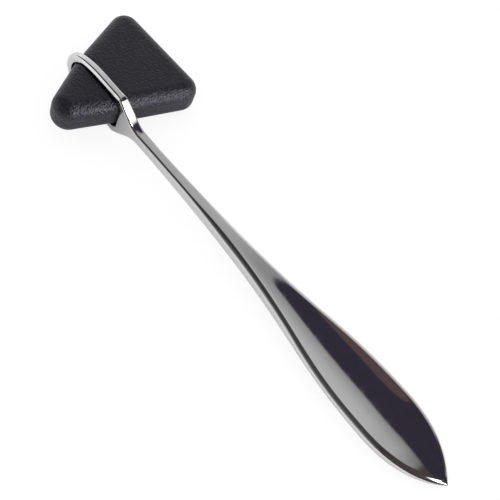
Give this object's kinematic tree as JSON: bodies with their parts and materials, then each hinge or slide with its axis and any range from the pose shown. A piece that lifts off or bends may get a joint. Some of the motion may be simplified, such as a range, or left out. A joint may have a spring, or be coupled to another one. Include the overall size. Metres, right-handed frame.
{
  "type": "reflex hammer",
  "caption": "Reflex hammer: a solid rubber head shaped as a rounded triangle, waisted into the loop of a plated metal handle that widens from a slim stem to a broad pointed paddle.",
  "frame": {"origin": "middle of the hammer's footprint, on the plane of the loop's rear face", "axes": "+X runs from the loop to the handle's point, +Y from the head's narrow striking end to its wide striking edge, +Z out of the head's front face"},
  "size_m": [0.1994, 0.0506, 0.0188],
  "materials": {
    "plated_handle": "polished bright plating, near mirror",
    "black_rubber": "moulded, fine pebbled grain, soft sheen"
  },
  "bodies": {
    "root": {"handle": "plated_handle", "rubber_head": "black_rubber"}
  },
  "joints": []
}
